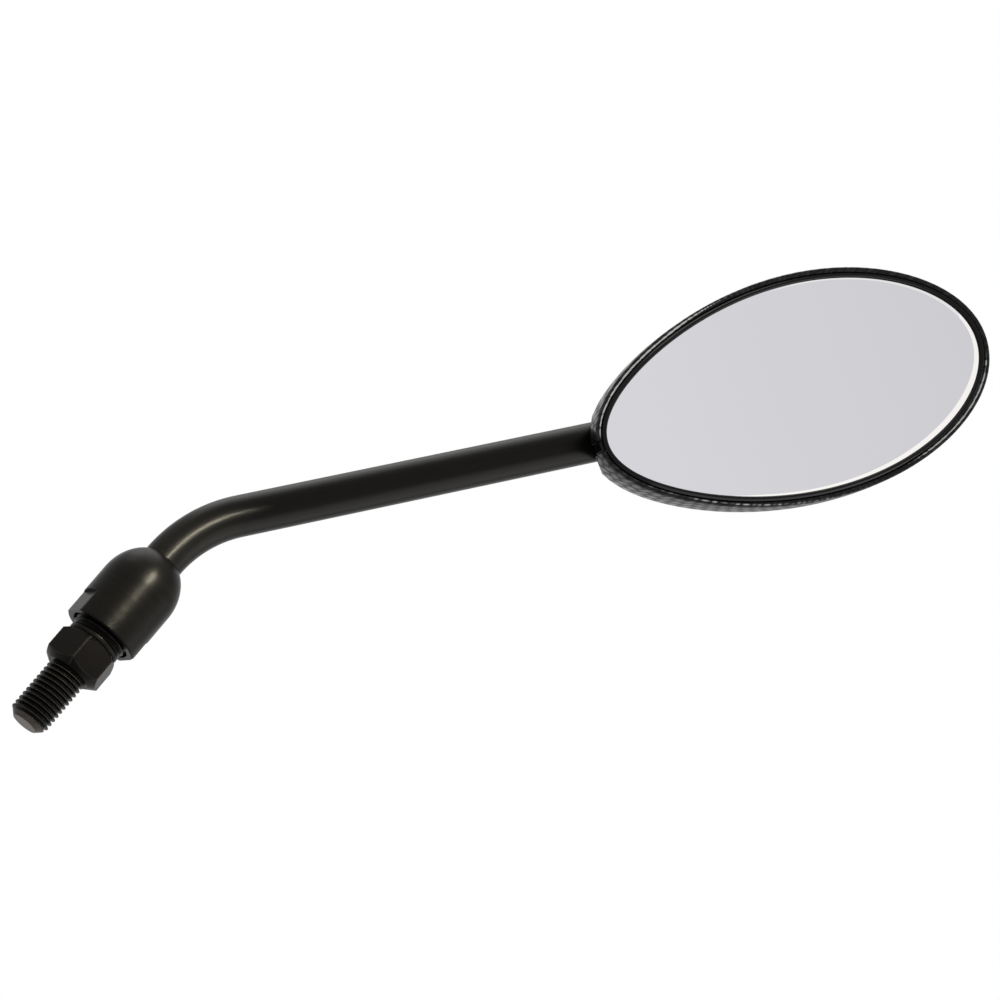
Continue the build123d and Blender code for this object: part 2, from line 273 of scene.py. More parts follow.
def skin(rows, start=None, end=None, closed=False):
    """Points and faces of a surface over a grid: each row is a closed ring joined to the next by
    quads, a start or end point closes that end by a fan, and closed joins the last row to the first."""
    count, columns = rows.shape[:2]
    index = np.arange(count * columns).reshape(count, columns)
    if closed:
        index = np.concatenate([index, index[:1]])
    here, turned = index, np.roll(index, -1, axis=1)
    quads = np.stack([here[:-1], turned[:-1], turned[1:], here[1:]], axis=-1).reshape(-1, 4)
    points, faces = [rows.reshape(-1, 3)], quads.tolist()
    for pole, ring, order in ((start, 0, (0, 2, 1)), (end, -1, (0, 1, 2))):
        if pole is None:
            continue
        tip = np.full(columns, sum(len(part) for part in points))
        fan = np.stack([tip, here[ring], turned[ring]], axis=-1)[:, order]
        points.append(np.reshape(pole, (1, 3)))
        faces += fan.tolist()
    return np.concatenate(points), faces


def add_piece(name, points, faces, material, sharp_angle=32.0):
    """A smooth mesh object at the origin whose edges stay sharp above an angle in degrees."""
    mesh = bpy.data.meshes.new(name)
    mesh.from_pydata(points.tolist(), [], faces)
    mesh.shade_smooth()
    mesh.set_sharp_from_angle(angle=radians(sharp_angle))
    mesh.materials.append(material)
    piece = bpy.data.objects.new(name, mesh)
    bpy.context.scene.collection.objects.link(piece)
    return piece


def mark_points(piece, name, values):
    """Store one number a point on a piece for its material to read."""
    layer = piece.data.attributes.new(name, "FLOAT", "POINT")
    layer.data.foreach_set("value", np.asarray(values, np.float32))


def seat_piece(piece, body, node):
    """Let a piece ride on a body and stand for a node, whose solid it hides."""
    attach(piece, body)
    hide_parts(node)


def cut_away(piece, *cutters):
    """Cut closed pieces out of a piece and delete them."""
    for cutter in cutters:
        cut = piece.modifiers.new(cutter.name, "BOOLEAN")
        cut.operation = "DIFFERENCE"
        cut.solver = "EXACT"
        cut.object = cutter
    graph = bpy.context.evaluated_depsgraph_get()
    mesh = bpy.data.meshes.new_from_object(piece.evaluated_get(graph))
    piece.modifiers.clear()
    old, piece.data = piece.data, mesh
    bpy.data.meshes.remove(old)
    for cutter in cutters:
        bpy.data.meshes.remove(cutter.data)


class Flow:
    """A socket of a material's nodes: arithmetic on it adds Math nodes."""

    def __init__(self, tree, socket=None):
        self.tree = tree
        self.socket = socket

    def node(self, kind, settings=None, inputs=None, output=0):
        """A node of a type: its settings are set first, then its sockets' values or links."""
        made = self.tree.nodes.new(kind)
        for name, value in (settings or {}).items():
            setattr(made, name, value)
        for name, value in (inputs or {}).items():
            if isinstance(value, Flow):
                self.tree.links.new(value.socket, made.inputs[name])
            else:
                made.inputs[name].default_value = value
        return Flow(self.tree, made.outputs[output])

    def out(self, name):
        """Another output of the same node."""
        return Flow(self.tree, self.socket.node.outputs[name])

    def math(self, operation, *others):
        inputs = dict(enumerate((self, *others)))
        return self.node("ShaderNodeMath", {"operation": operation}, inputs)

    def __add__(self, other):
        return self.math("ADD", other)

    def __mul__(self, other):
        return self.math("MULTIPLY", other)

    def __sub__(self, other):
        return self.math("SUBTRACT", other)

    def __rsub__(self, other):
        return self.node("ShaderNodeMath", {"operation": "SUBTRACT"}, {0: other, 1: self})

    def __truediv__(self, other):
        return self.math("DIVIDE", other)

    def __mod__(self, other):
        return self.math("FLOORED_MODULO", other)

    def __lt__(self, other):
        return self.math("LESS_THAN", other)

    def __pow__(self, other):
        return self.math("POWER", other)

    __radd__ = __add__
    __rmul__ = __mul__

    def floor(self):
        return self.math("FLOOR")

    def wave(self):
        return self.math("SINE")

    def mix(self, low, high):
        """A colour between two, by this value."""
        inputs = {0: self, 6: low, 7: high}
        return self.node("ShaderNodeMix", {"data_type": "RGBA"}, inputs, output=2)

    def in_millimetres(self):
        """Object coordinates of the piece in millimetres."""
        place = self.node("ShaderNodeTexCoord", output="Object")
        return self.node("ShaderNodeVectorMath", {"operation": "SCALE"}, {0: place, "Scale": 1 / MM})

    def attribute(self, name):
        """A number stored on the piece's points."""
        return self.node("ShaderNodeAttribute", {"attribute_name": name}, output="Fac")

    def noise(self, scale, detail=3.0, stretch=(1, 1, 1), vector=None):
        """Noise with a scale in cells a millimetre."""
        place = vector or self.in_millimetres()
        place = self.node("ShaderNodeVectorMath", {"operation": "MULTIPLY"}, {0: place, 1: stretch})
        return self.node("ShaderNodeTexNoise", {}, {"Vector": place, "Scale": scale, "Detail": detail})

    def bump(self, height, distance, strength=1.0):
        """A normal from a height in units of a distance in millimetres."""
        inputs = {"Height": height, "Distance": distance * MM, "Strength": strength}
        return self.node("ShaderNodeBump", {}, inputs)


def finish(name, constants, paint):
    """A material of one shader: constants are set on its sockets and paint links what varies."""
    material = bpy.data.materials.new(name)
    material.use_nodes = True
    tree = material.node_tree
    shader = tree.nodes["Principled BSDF"]
    for socket, value in constants.items():
        shader.inputs[socket].default_value = value
    for socket, flow in paint(Flow(tree)).items():
        tree.links.new(flow.socket, shader.inputs[socket])
    return material


def grey(value, warmth=0.0):
    """An opaque grey, warmed by a share."""
    return (value * (1 + warmth), value, value * (1 - warmth), 1.0)


def satin_coat(flow):
    """Powder coat: a faint mottle in tone and gloss over a fine orange peel."""
    mottle = flow.noise(0.12)
    peel = flow.noise(2.2, detail=2.0)
    return {
        "Base Color": mottle.mix(grey(0.002, 0.05), grey(0.004, 0.08)),
        "Roughness": 0.28 + 0.06 * flow.noise(0.5),
        "Normal": flow.bump(peel, 0.012),
    }


def turned_satin(flow):
    """Satin black over turning marks: rings along the axis, uneven in depth."""
    place = flow.in_millimetres()
    height = flow.node("ShaderNodeSeparateXYZ", {}, {0: place}, output="Z")
    rings = (height * (2 * pi / TURNING_PITCH)).wave() * 0.5 + 0.5
    uneven = flow.noise(1.4, stretch=(0.05, 0.05, 1.0))
    fine = flow.noise(9.0, stretch=(0.04, 0.04, 1.0))
    return {
        "Base Color": uneven.mix(grey(0.001, 0.06), grey(0.003, 0.08)),
        "Roughness": 0.27 + 0.08 * fine,
        "Normal": flow.bump(rings * uneven + 0.7 * fine, 0.024),
    }


def oiled_black(flow):
    """Black-finished steel: lighter and half metallic in patches where the piece is marked, partly as wear and
    partly as painted sheen, with fine scratches.
    """
    worn_and_sheen = flow.attribute("worn_and_sheen")
    patches = flow.noise(0.9)
    # Lighter patches: partly wear, partly painted sheen
    bare_and_sheen = worn_and_sheen * (0.35 + 0.9 * patches)
    scratches = flow.noise(6.0, stretch=(0.3, 0.3, 1.0))
    return {
        "Base Color": bare_and_sheen.mix(grey(0.003, 0.1), grey(0.09, 0.1)),
        "Roughness": 0.26 + 0.16 * patches,
        "Metallic": 0.5 * bare_and_sheen,
        "Normal": flow.bump(scratches, 0.006),
    }


def carbon_cloth(flow):
    """Two-by-two twill under lacquer: each tow floats over two, its crown a half sine along the
    float and rounded across, with fine fibres along it. Its light and dark tows, darker tow edges and
    fibre streaks are painted sheen. The lacquer thins at the tow's edges and shows by the piece's polish,
    and crowns carry a painted highlight, a bright metallic grey, where the piece is marked for it."""
    place = flow.node("ShaderNodeTexCoord", output="UV")
    u = flow.node("ShaderNodeSeparateXYZ", {}, {0: place}, output="X")
    v = u.out("Y")
    column, row = u.floor(), v.floor()
    warp_over = ((column - row) % 4.0) < 1.5
    warp_float = ((column - v + 1.0) % 4.0) * (pi / 2)
    weft_float = ((u - row - 2.0) % 4.0) * (pi / 2)
    warp_across = (u - column) * pi
    weft_across = (v - row) * pi
    warp = warp_float.wave() * warp_across.wave() ** 0.5
    weft = weft_float.wave() * weft_across.wave() ** 0.5
    crown = warp_over * warp + (1.0 - warp_over) * weft
    warp_fibre = flow.noise(1.0, stretch=(16.0, 0.9, 1.0), vector=place)
    weft_fibre = flow.noise(1.0, stretch=(0.9, 16.0, 1.0), vector=place)
    fibre = warp_over * warp_fibre + (1.0 - warp_over) * weft_fibre
    # Painted sheen of the weave: warp tows lighter than weft, tow edges darker, with fibre streaks
    tone = (0.25 + 0.55 * warp_over) * (0.35 + 0.65 * crown) * (0.4 + 1.2 * fibre)
    # Painted highlight: a bright metallic grey on the crowns where the lip is marked
    painted_highlight = ((flow.attribute("painted_highlight") * (0.35 + crown)) ** 3.0).math("MINIMUM", 1.0)
    return {
        "Base Color": painted_highlight.mix(tone.mix(grey(0.002), grey(0.02)), grey(0.45)),
        "Roughness": 0.45 - 0.16 * crown,
        "Metallic": 0.5 * painted_highlight,
        "Coat Weight": crown * flow.attribute("polish"),
        "Normal": flow.bump(crown + 0.25 * fibre, 0.06),
    }


def gloss_black(flow):
    """Moulded gloss black with a faint ripple."""
    ripple = flow.noise(0.25)
    return {
        "Base Color": ripple.mix(grey(0.003), grey(0.005)),
        "Roughness": 0.1 + 0.08 * flow.noise(1.5),
        "Normal": flow.bump(ripple, 0.01),
    }


def silvering(flow):
    """Silvered glass: a cool grey with a painted darkening of its reflection a little to the far end."""
    place = flow.in_millimetres()
    along = flow.node("ShaderNodeVectorMath", {"operation": "DOT_PRODUCT"}, {0: place, 1: tuple(HEAD_ALONG)},
                      output="Value")
    ball_along = float(BALL @ HEAD_ALONG) / MM
    # Painted reflection: the silver darkens towards the far end
    share = (along - ball_along) / GLASS_LENGTH
    cloud = 0.04 * flow.noise(0.03)
    return {"Base Color": (share + cloud).mix((0.665, 0.66, 0.69, 1.0), (0.6, 0.595, 0.63, 1.0))}


def plain_finish(low, high, roughness, scale=0.6):
    """Paint of a plain inner piece: two tones in a fine mottle."""
    def paint(flow):
        mottle = flow.noise(scale)
        return {"Base Color": mottle.mix(low, high), "Roughness": roughness + 0.1 * flow.noise(2 * scale)}
    return paint


def white_in_gloss(flow):
    """Pale floor that shows white in reflections, as the background does."""
    glossy = flow.node("ShaderNodeLightPath", output="Is Glossy Ray")
    mottle = flow.noise(0.01)
    pale = mottle.mix(grey(0.78), grey(0.8))
    return {"Base Color": glossy.mix(pale, grey(0.0)), "Emission Color": glossy.mix(grey(0.0), grey(1.0))}


STEM_BLACK = finish(
    "stem_black",
    {"Specular IOR Level": 0.1, "Specular Tint": (1, 0.97, 0.87, 1)},
    satin_coat,
)
NUT_BLACK = finish(
    "nut_black",
    {"Specular IOR Level": 0.07, "Specular Tint": (1, 0.97, 0.86, 1)},
    turned_satin,
)
STEEL_BLACK = finish(
    "steel_black",
    {"Specular IOR Level": 0.06, "Specular Tint": (1, 0.9, 0.82, 1)},
    oiled_black,
)
CARBON = finish("carbon", {"Coat Roughness": 0.1, "Coat IOR": 1.5, "Specular IOR Level": 0.1}, carbon_cloth)
RIM_BLACK = finish("rim_black", {"Specular IOR Level": 0.12}, gloss_black)
SILVER = finish("silver", {"Metallic": 1.0, "Roughness": 0.015}, silvering)
NYLON = finish("nylon", {}, plain_finish((0.72, 0.7, 0.62, 1), (0.8, 0.79, 0.73, 1), 0.45))
ZINC = finish(
    "zinc",
    {"Metallic": 1.0},
    plain_finish((0.42, 0.42, 0.43, 1), (0.58, 0.58, 0.59, 1), 0.28, 1.5),
)
BRASS = finish(
    "brass",
    {"Metallic": 1.0},
    plain_finish((0.6, 0.42, 0.16, 1), (0.76, 0.58, 0.27, 1), 0.25, 1.2),
)
FOAM = finish("foam", {}, plain_finish(grey(0.02), grey(0.04), 0.8, 2.0))
MOULDED = finish("moulded", {}, plain_finish(grey(0.018), grey(0.03), 0.5))


def thread(angle, height, crest, pitch):
    """Radius of a right-hand thread: a flank wave that climbs one pitch a turn, with a flat crest
    and a flat root."""
    phase = np.mod(height / pitch - angle / (2 * pi), 1.0)
    slope_share = 1 - THREAD_CREST_SHARE - THREAD_ROOT_SHARE
    flank = np.clip((np.abs(2 * phase - 1) - THREAD_CREST_SHARE) / slope_share, 0, 1)
    return crest - THREAD_DEPTH_SHARE * pitch * flank


def hex_radius(angle):
    """Radius of the hex's outline at an angle."""
    sector = np.mod(angle - radians(HEX_TURN), pi / 3) - pi / 6
    return HEX_ACROSS_FLATS / 2 / np.cos(sector)


def worn_and_sheen_top(radius, top):
    """Share of wear and painted sheen at a radius: one at the top of what stands out and none a little below it.
    """
    return np.clip((radius - top) / WEAR_AND_SHEEN_DEPTH + 1, 0, 1)


def make_adapter():
    """Turned adapter as a radius over angle and height: threaded stud with a chamfered end, hex cut
    by a cone, rounded collar, groove and threaded spigot."""
    angle = around(144) + radians(HEX_TURN)
    rows, wear = [], []

    def add(radius, height, worn_and_sheen=0.0):
        rows.append(upright(radius, angle, np.reshape(height, (-1, 1))))
        wear.append(np.broadcast_to(worn_and_sheen, rows[-1].shape[:2]))

    end_radius = STUD_RADIUS - STUD_CHAMFER
    # The end and its chamfer are lightened: partly wear, partly painted sheen where light catches them
    add(end_radius, -STUD_LENGTH, END_WEAR_AND_SHEEN)
    heights = np.arange(-STUD_LENGTH, -STUD_RELIEF_LENGTH, STUD_PITCH / 16)[1:, None]
    crest = STUD_RADIUS - CREST_CLEARANCE
    cut = thread(angle, heights, crest, STUD_PITCH)
    cone = end_radius + heights + STUD_LENGTH
    # The thread's crests are lightened: partly wear, partly painted highlight
    crest_wear_and_sheen = CREST_WEAR_AND_SHEEN * worn_and_sheen_top(cut, crest)
    add(np.minimum(cut, cone), heights, np.where(cone > cut, crest_wear_and_sheen, CHAMFER_WEAR_AND_SHEEN))
    add(STUD_RELIEF_RADIUS, -STUD_RELIEF_LENGTH)
    add(STUD_RELIEF_RADIUS, 0.0)
    add(HEX_SEAT_RADIUS, 0.0)
    seat_rise = (HEX_CORNER - HEX_SEAT_RADIUS) * tan(radians(HEX_SEAT_ANGLE))
    top_fall = (HEX_CORNER - HEX_TOP_RADIUS) * tan(radians(HEX_TOP_ANGLE))
    low_heights = np.linspace(0, seat_rise, 17)[1:]
    high_heights = np.linspace(top_fall, 0, 13)
    heights = np.append(low_heights, HEX_HEIGHT - high_heights)[:, None]
    seat_cone = HEX_SEAT_RADIUS + heights / tan(radians(HEX_SEAT_ANGLE))
    top_cone = HEX_TOP_RADIUS + (HEX_HEIGHT - heights) / tan(radians(HEX_TOP_ANGLE))
    # The hex's corners and the edge of its seat are lightened: partly wear, partly painted highlight
    corner = worn_and_sheen_top(hex_radius(angle), HEX_CORNER)
    chamfer_edge = np.clip(1 - np.abs(seat_cone - hex_radius(angle)) / SEAT_EDGE_WIDTH, 0, 1)
    radius = np.minimum(np.minimum(seat_cone, top_cone), hex_radius(angle))
    add(radius, heights, HEX_WEAR_AND_SHEEN * np.maximum(corner, chamfer_edge))
    low = arc((COLLAR_RADIUS - COLLAR_ROUNDING, HEX_HEIGHT + COLLAR_ROUNDING), COLLAR_ROUNDING, -90, 0)
    high = arc((COLLAR_RADIUS - COLLAR_ROUNDING, COLLAR_TOP - COLLAR_ROUNDING), COLLAR_ROUNDING, 0, 75)
    collar = profile(low, high, (GROOVE_RADIUS, COLLAR_TOP), (GROOVE_RADIUS, SPIGOT_BOTTOM))
    add(collar[:, :1], collar[:, 1:])
    heights = np.arange(SPIGOT_BOTTOM, BELL_BOTTOM + 2 * BELL_MOUTH_DEPTH, SPIGOT_PITCH / 14)[:, None]
    crest = SPIGOT_RADIUS - CREST_CLEARANCE
    cut = thread(angle, heights, crest, SPIGOT_PITCH)
    run_in = GROOVE_RADIUS + RUN_IN_SLOPE * (heights - SPIGOT_BOTTOM)
    add(np.minimum(cut, run_in), heights, CREST_WEAR_AND_SHEEN * worn_and_sheen_top(cut, crest))
    top = SPIGOT_BOTTOM + SPIGOT_LENGTH
    add(crest, top)
    points, faces = skin(np.concatenate(rows), upright(0, 0, -STUD_LENGTH), upright(0, 0, top))
    piece = add_piece("adapter_turned", points, faces, STEEL_BLACK, sharp_angle=24.0)
    mark_points(piece, "worn_and_sheen", np.append(np.concatenate(wear).ravel(), (END_WEAR_AND_SHEEN, 0)))
    seat_piece(piece, "base", "adapter_stud")


def make_clamp_nut():
    """Clamp nut as a profile turned about the stud axis: bored, with a barrel, an elliptical dome,
    and two flats at its foot where the radius is held to the flat."""
    edge = np.arccos(FLATS_ACROSS / 2 / BELL_RADIUS)
    flat_middles = radians(FLATS_TURN) + np.array([[0], [pi]])
    edges = np.mod(flat_middles + np.array([-edge, edge]), 2 * pi).ravel()
    angle = np.unique(np.concatenate([around(180), edges]))
    off_flat = np.abs(np.mod(angle - radians(FLATS_TURN) + pi / 2, pi) - pi / 2)
    flat = np.where(off_flat < edge + 1e-6, FLATS_ACROSS / 2 / np.cos(off_flat), 2 * BELL_RADIUS)
    flats_top = BELL_BOTTOM + FLATS_HEIGHT
    dome_end = np.arccos(BELL_BORE_RADIUS / BELL_RADIUS)
    u = np.linspace(0, dome_end, 40)[1:]
    dome = np.stack([BELL_RADIUS * np.cos(u), DOME_START + BELL_DOME * np.sin(u)], axis=-1)
    foot = profile(
        (BELL_RADIUS - BELL_CHAMFER, BELL_BOTTOM),
        (BELL_RADIUS, BELL_BOTTOM + BELL_CHAMFER),
        (BELL_RADIUS, flats_top),
    )
    body = profile((BELL_RADIUS, flats_top), (BELL_RADIUS, DOME_START), dome)
    bore = profile(
        (BELL_BORE_RADIUS, BELL_SHOULDER),
        (BELL_THREAD_RADIUS, BELL_SHOULDER),
        (BELL_THREAD_RADIUS, BELL_BOTTOM + BELL_MOUTH_DEPTH),
        (BELL_MOUTH_RADIUS, BELL_BOTTOM + BELL_MOUTH_DEPTH),
        (BELL_MOUTH_RADIUS, BELL_BOTTOM + BELL_MOUTH_CHAMFER),
        (BELL_MOUTH_RADIUS + BELL_MOUTH_CHAMFER, BELL_BOTTOM),
    )
    rows = [
        upright(np.minimum(foot[:, :1], flat), angle, foot[:, 1:]),
        upright(body[:, :1] + 0 * angle, angle, body[:, 1:]),
        upright(bore[:, :1] + 0 * angle, angle, bore[:, 1:]),
    ]
    points, faces = skin(np.concatenate(rows), closed=True)
    piece = add_piece("clamp_nut_turned", points, faces, NUT_BLACK, sharp_angle=28.0)
    seat_piece(piece, "base", "bell_nut")


def make_stem():
    """Bent bar: a circle carried along a straight, an arc in the XZ plane and a second straight,
    with its radius stepping to the tenon below and the neck above."""
    turn = np.linspace(0, BEND_ANGLE, 49)
    run = np.array([0, 0.3, 0.6, 0.8]) * UPPER_RUN
    last = UPPER_RUN - np.array([NECK_START, NECK_START - NECK_TAPER, NECK_END])
    straight = np.array([TENON_BOTTOM, TENON_TOP, TENON_TOP, BEND_START])
    along = np.concatenate([run[1:], last])
    tilt = np.concatenate([0 * straight, turn[1:], BEND_ANGLE + 0 * along])
    x = BEND_RADIUS * (1 - np.cos(tilt))
    z = BEND_START + BEND_RADIUS * np.sin(tilt)
    x[-len(along):] += along * np.sin(BEND_ANGLE)
    z[-len(along):] += along * np.cos(BEND_ANGLE)
    z[:len(straight)] = straight
    radius = np.full(len(tilt), STEM_RADIUS)
    radius[:2] = TENON_RADIUS
    radius[-2:] = NECK_RADIUS
    angle = around(128)
    x, z, tilt, radius = (value[:, None] for value in (x, z, tilt, radius))
    out = radius * np.cos(angle)
    rows = MM * np.stack([x + out * np.cos(tilt), radius * np.sin(angle), z - out * np.sin(tilt)], axis=-1)
    points, faces = skin(rows, rows[0].mean(0), rows[-1].mean(0))
    piece = add_piece("stem_bar", points, faces, STEM_BLACK)
    seat_piece(piece, "stem", "stem")


def dome_profile(count):
    """Shrink and fall of a dome's sections from the back to the lip: a superellipse in polar form,
    r^n = 1 / (cos(u)^n + sin(u)^n), with its shrink r cos(u) and its fall r sin(u)."""
    u = np.linspace(pi / 2, 0, count)
    reach = (np.cos(u) ** DOME_FULLNESS + np.sin(u) ** DOME_FULLNESS) ** (-1 / DOME_FULLNESS)
    return reach * np.cos(u), reach * np.sin(u)


def dome_back(x, z, outset, depth):
    """How far behind the ball a dome's wall lies over points of the head: the share of the way from
    the egg's centre to its outline, put through the superellipse."""
    t = around(720)
    edge_x, edge_z = egg(t, outset)
    way = np.arctan2(edge_z, edge_x)
    order = np.argsort(way)
    dx, dz = x - EGG_CENTRE, z + BALL_RISE
    reach = np.interp(np.arctan2(dz, dx), way[order], np.hypot(edge_x, edge_z)[order], period=2 * pi)
    share = np.clip(np.hypot(dx, dz) / reach, 0, 1)
    return depth * (1 - share ** DOME_FULLNESS) ** (1 / DOME_FULLNESS) - LIP_FRONT


def lay_cloth(piece, rows, poles):
    """UV map of the cloth, in tows: each point lies in its own direction from the dome's back, as far
    as the cloth runs over the surface, and the cloth is turned on the egg."""
    first = np.broadcast_to(poles[0], rows[:1].shape)
    steps = np.linalg.norm(np.diff(rows, axis=0, prepend=first), axis=-1)
    far = np.cumsum(steps, axis=0) / MM
    plan = rows - poles[0]
    across = np.stack([plan @ HEAD_ALONG, plan @ HEAD_UP], axis=-1)
    across /= np.linalg.norm(across, axis=-1, keepdims=True)
    turn = np.array([[np.cos(CLOTH_TURN), -np.sin(CLOTH_TURN)], [np.sin(CLOTH_TURN), np.cos(CLOTH_TURN)]])
    flat = (far[..., None] * across / TOW_WIDTH @ turn).reshape(-1, 2)
    flat = np.concatenate([flat, np.zeros((len(poles), 2))])
    corners = np.zeros(len(piece.data.loops), int)
    piece.data.loops.foreach_get("vertex_index", corners)
    layer = piece.data.uv_layers.new(name="cloth")
    layer.data.foreach_set("uv", flat[corners].astype(np.float32).ravel())


def stretch_of_edge(t, middle, sharpness):
    """Share of an edge line round the egg: one at its middle in degrees, falling to none beside it."""
    return np.clip(1 - sharpness * (1 - np.cos(t - radians(middle))), 0, 1)


def lip_painted_highlight(t, outset):
    """Painted highlight along the lip: lines along the upper left and the far end, and dashes along
    the lower left that drift outwards to the bottom, each a bell curve across the lip."""
    upper = 1.85 + 0.4 * np.clip((radians(125) - t) / radians(20), 0, 1)
    lower = 1.85 + 0.75 * np.clip((t - radians(225)) / radians(45), 0, 1)
    edge_lines = (
        (4.0, 138, 4.0, upper, 0.18),
        (4.0, 322, 7.0, 1.75, 0.15),
        (0.95, 235, 2.6, lower, 0.25),
    )
    painted_highlight = 0
    for bright, middle, sharpness, line, width in edge_lines:
        bell = np.exp(-((outset - line) / width) ** 2)
        painted_highlight = painted_highlight + bright * stretch_of_edge(t, middle, sharpness) * bell
    return painted_highlight


def make_stem_entry(material):
    """Cutter for the stem's room: rounded squares that widen away from the ball, as far as the stem
    swings, with corners of the stem's radius."""
    reach = np.array([STEM_RADIUS, STEM_RADIUS - SHELL_TIP + STEM_RADIUS])[:, None]
    half = STEM_RADIUS / np.cos(ENTRY_SWING) + reach * tan(ENTRY_SWING) + ENTRY_GAP
    angle = around(64) + pi / 64
    core = half - STEM_RADIUS
    y = np.sign(np.cos(angle)) * core + STEM_RADIUS * np.cos(angle)
    z = np.sign(np.sin(angle)) * core + STEM_RADIUS * np.sin(angle)
    rows = in_head(-reach, y, z)
    points, faces = skin(rows, rows[0].mean(0), rows[-1].mean(0))
    return add_piece("entry_cutter", points, faces, material)


def make_ball_room(material):
    """Cutter for the room of the ball and its seats: a sphere as rings from its back to its front."""
    angle = around(72)
    fall = np.linspace(0, pi, 25)[1:-1, None]
    across = SOCKET_POCKET * np.sin(fall)
    rows = in_head(across * np.cos(angle), -SOCKET_POCKET * np.cos(fall), across * np.sin(angle))
    points, faces = skin(rows, in_head(0.0, -SOCKET_POCKET, 0.0), in_head(0.0, SOCKET_POCKET, 0.0))
    return add_piece("ball_cutter", points, faces, material)


def make_block(name, middle, size, material):
    """Closed block of the head from its middle and size along the egg, in depth and across."""
    corner = np.array([[1, 1], [-1, 1], [-1, -1], [1, -1]]) / 2
    x = middle[0] + size[0] * corner[:, 0]
    z = middle[2] + size[2] * corner[:, 1]
    depth = middle[1] + size[1] * np.array([[-0.5], [0.5]])
    rows = in_head(x[None, :], depth, z[None, :])
    points, faces = skin(rows, rows[0].mean(0), rows[-1].mean(0))
    return add_piece(name, points, faces, material)


def make_shell():
    """Shell as egg outlines stacked from the back of the outer dome over the lip and its rebate to
    the back of the cavity, with the stem's entry, the tongue's notch and the ball's room cut out."""
    t = around(256)
    shrink, fall = (value[1:-2] for value in dome_profile(44))
    inner_outset = SHELL_OUTSET - SHELL_WALL
    inner_depth = SHELL_DEPTH - SHELL_WALL
    crest = SHELL_OUTSET - LIP_ROUNDING
    crown = arc((crest, LIP_FRONT - LIP_CROWN_RADIUS), LIP_CROWN_RADIUS, 90, 90 + LIP_CROWN_TILT)
    rounding = arc((crest, LIP_FRONT - LIP_ROUNDING), LIP_ROUNDING, 0, 75)
    lip = profile(
        rounding,
        crown,
        crown[-1] + LIP_FOLD,
        (LIP_OUTSET, crown[-1, 1] - LIP_INNER_FALL),
        (LIP_OUTSET, RIM_CAP_BACK),
    )
    outer = egg_ring(t, SHELL_OUTSET, LIP_FRONT - SHELL_DEPTH * fall, shrink)
    inner = egg_ring(t, inner_outset, LIP_FRONT - inner_depth * fall[::-1], shrink[::-1])[1:]
    rows = np.concatenate([outer, egg_ring(t, lip[:, 0], lip[:, 1]), inner])
    polish = np.full(rows.shape[:2], INNER_POLISH)
    polish[:len(outer) + len(rounding)] = OUTER_POLISH - LOWER_POLISH_LOSS * stretch_of_edge(t, 270, 1.6)
    # Painted highlight along the lip, for the material to read
    painted_highlight = np.zeros(rows.shape[:2])
    painted_highlight[len(outer):len(outer) + len(lip)] = lip_painted_highlight(t, lip[:, :1])
    backs = np.array([LIP_FRONT - SHELL_DEPTH, LIP_FRONT - inner_depth])
    poles = in_head(EGG_CENTRE, backs, -BALL_RISE)
    points, faces = skin(rows, poles[0], poles[1])
    piece = add_piece("carbon_shell", points, faces, CARBON)
    lay_cloth(piece, rows, poles)
    mark_points(piece, "polish", np.append(polish, (OUTER_POLISH, INNER_POLISH)))
    mark_points(piece, "painted_highlight", np.append(painted_highlight, (0, 0)))
    notch_back = STEM_RADIUS / np.cos(ENTRY_SWING) - SHELL_TIP * tan(ENTRY_SWING)
    notch_size = (2 * NOTCH_REACH, 2 * (LIP_FRONT - notch_back), NOTCH_WIDTH)
    notch = make_block("notch_cutter", (SHELL_TIP, LIP_FRONT, -BALL_RISE), notch_size, CARBON)
    cut_away(piece, make_stem_entry(CARBON), notch, make_ball_room(CARBON))
    piece.data.set_sharp_from_angle(angle=radians(32))
    seat_piece(piece, "head", "housing")


def make_socket():
    """Socket block of the ball, turned about the line through it: a cylinder from the pocket's mouth
    to just inside the dome's outer face, hollowed by a sphere, with the stem's room cut out."""
    angle = around(72)
    x, z = np.cos(angle), np.sin(angle)
    pocket = np.linspace(0, np.arccos(SOCKET_START / SOCKET_POCKET), 12)[1:, None]
    outset, depth = SHELL_OUTSET - SOCKET_SKIN, SHELL_DEPTH - SOCKET_SKIN
    back = dome_back(SOCKET_RADIUS * x, SOCKET_RADIUS * z, outset, depth)
    back = np.maximum(back, SOCKET_START + SOCKET_LEAST)
    rows = np.concatenate([
        in_head(SOCKET_RADIUS * x, -back, SOCKET_RADIUS * z)[None],
        in_head(SOCKET_RADIUS * x, -SOCKET_START + 0 * x, SOCKET_RADIUS * z)[None],
        in_head(SOCKET_POCKET * np.sin(pocket) * x, -SOCKET_POCKET * np.cos(pocket),
                SOCKET_POCKET * np.sin(pocket) * z)[::-1],
    ])
    far = dome_back(0.0, 0.0, outset, depth)
    points, faces = skin(rows, in_head(0.0, -far, 0.0), in_head(0.0, -SOCKET_POCKET, 0.0))
    piece = add_piece("ball_socket", points, faces, MOULDED)
    cut_away(piece, make_stem_entry(MOULDED))
    piece.data.set_sharp_from_angle(angle=radians(32))
    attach(piece, "head")


